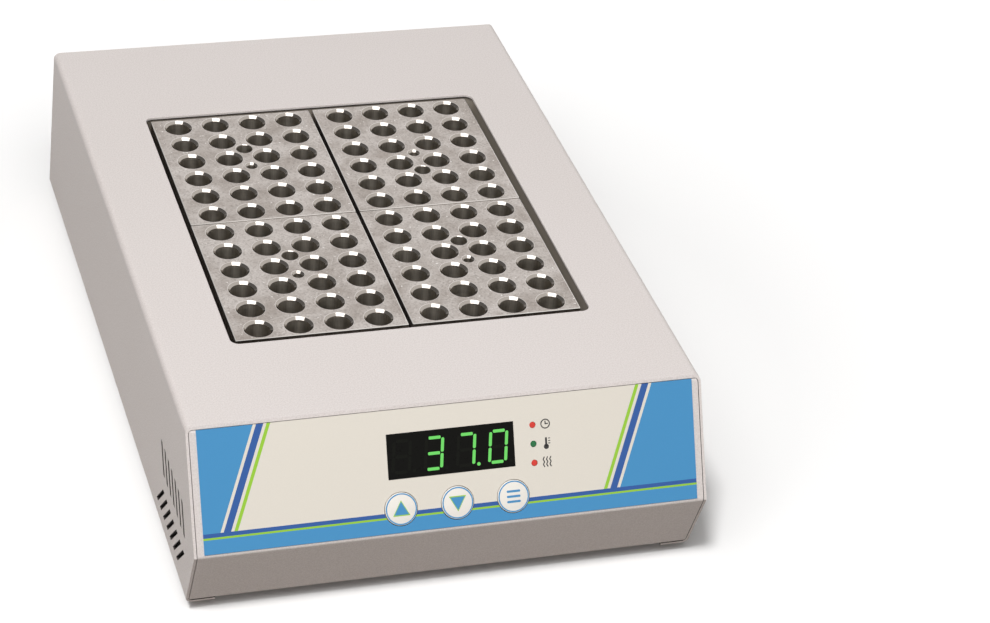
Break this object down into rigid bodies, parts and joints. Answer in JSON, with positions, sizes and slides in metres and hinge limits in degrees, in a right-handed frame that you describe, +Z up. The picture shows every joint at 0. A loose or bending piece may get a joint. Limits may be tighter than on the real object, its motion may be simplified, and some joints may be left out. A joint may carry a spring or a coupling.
{
  "type": "dry bath incubator",
  "caption": "Digital dry block heater: sheet-metal case with sloped control panel and lift-out drilled aluminium heat blocks for small tubes.",
  "frame": {"origin": "centre of the case's outline, on the surface it stands on", "axes": "+Z up, -Y towards the control panel, +X to the right of a person facing the panel"},
  "size_m": [0.232, 0.361, 0.09],
  "materials": {
    "powder_coat": "light warm grey powder coat, fine speckle",
    "pan_coat": "light warm grey powder coat, fine speckle",
    "overlay": "printed polyester film, satin",
    "block_aluminium": "machined, lightly scratched",
    "tray_steel": "brushed stainless steel",
    "plate_aluminium": "milled",
    "dark_lens": "smoked acrylic",
    "display_black": "display housing",
    "key_white": "white keys",
    "lamp_lens": "tinted lamp lenses",
    "board_green": "solder mask",
    "black_plastic": "moulded",
    "rocker_black": "moulded rocker",
    "foot_rubber": "moulded rubber",
    "zinc_steel": "zinc plated",
    "brass_pins": "plated brass",
    "silicone_heater": "silicone rubber",
    "wool": "needled glass wool",
    "nylon": "moulded",
    "glass_fuse": "clear",
    "sink_aluminium": "anodised black",
    "post_steel": "turned"
  },
  "bodies": {
    "housing": {"top_cover": "powder_coat", "base_pan": "pan_coat", "front_overlay": "overlay", "bath_tray": "tray_steel", "heater_plate": "plate_aluminium", "clamp_plate": "plate_aluminium", "display_window": "dark_lens", "display_module": "display_black", "indicator_lamps": "lamp_lens", "control_board": "board_green", "board_spacers": "nylon", "board_screws": "zinc_steel", "key_switches": "black_plastic", "temperature_probe": "post_steel", "flat_heater": "silicone_heater", "support_posts": "post_steel", "stack_screws": "zinc_steel", "insulation_pad": "wool", "insulation_wrap": "wool", "thermal_cutout": "black_plastic", "power_inlet": "black_plastic", "inlet_pins": "brass_pins", "inlet_screws": "zinc_steel", "inlet_nuts": "zinc_steel", "switch_body": "black_plastic", "power_board": "board_green", "power_board_spacers": "nylon", "power_board_screws": "zinc_steel", "transformer": "black_plastic", "heat_sink": "sink_aluminium", "triac": "black_plastic", "terminal_block": "black_plastic", "rubber_feet": "foot_rubber", "foot_screws": "zinc_steel", "foot_nuts": "zinc_steel", "cover_nuts": "zinc_steel", "cover_screws": "zinc_steel"},
    "block_rear_left": {"heat_block_rear_left": "block_aluminium", "block_floor_rear_left": "block_aluminium"},
    "block_rear_right": {"heat_block_rear_right": "block_aluminium", "block_floor_rear_right": "block_aluminium"},
    "block_front_left": {"heat_block_front_left": "block_aluminium", "block_floor_front_left": "block_aluminium"},
    "block_front_right": {"heat_block_front_right": "block_aluminium", "block_floor_front_right": "block_aluminium"},
    "up_button": {"up_key": "key_white"},
    "down_button": {"down_key": "key_white"},
    "mode_button": {"mode_key": "key_white"},
    "rocker": {"power_rocker": "rocker_black"},
    "drawer": {"fuse_drawer": "black_plastic", "mains_fuse": "glass_fuse"}
  },
  "joints": [
    {"name": "lift_rear_left", "type": "slide", "parent": "housing", "child": "block_rear_left", "axis": [0, 0, 1], "range_m": [0, 0.056]},
    {"name": "lift_rear_right", "type": "slide", "parent": "housing", "child": "block_rear_right", "axis": [0, 0, 1], "range_m": [0, 0.056]},
    {"name": "lift_front_left", "type": "slide", "parent": "housing", "child": "block_front_left", "axis": [0, 0, 1], "range_m": [0, 0.056]},
    {"name": "lift_front_right", "type": "slide", "parent": "housing", "child": "block_front_right", "axis": [0, 0, 1], "range_m": [0, 0.056]},
    {"name": "press_up", "type": "slide", "parent": "housing", "child": "up_button", "axis": [0, 0.8836, -0.4683], "range_m": [0, 0.0004], "stiffness_N_per_m": 1000},
    {"name": "press_down", "type": "slide", "parent": "housing", "child": "down_button", "axis": [0, 0.8836, -0.4683], "range_m": [0, 0.0004], "stiffness_N_per_m": 1000},
    {"name": "press_mode", "type": "slide", "parent": "housing", "child": "mode_button", "axis": [0, 0.8836, -0.4683], "range_m": [0, 0.0004], "stiffness_N_per_m": 1000},
    {"name": "rocker_tilt", "type": "hinge", "parent": "housing", "child": "rocker", "pos_m": [-0.032, 0.17415, 0.045], "axis": [1, 0, 0], "range_deg": [0, 20]},
    {"name": "drawer_pull", "type": "slide", "parent": "housing", "child": "drawer", "axis": [0, 0.9892, 0.1463], "range_m": [0, 0.022]}
  ]
}
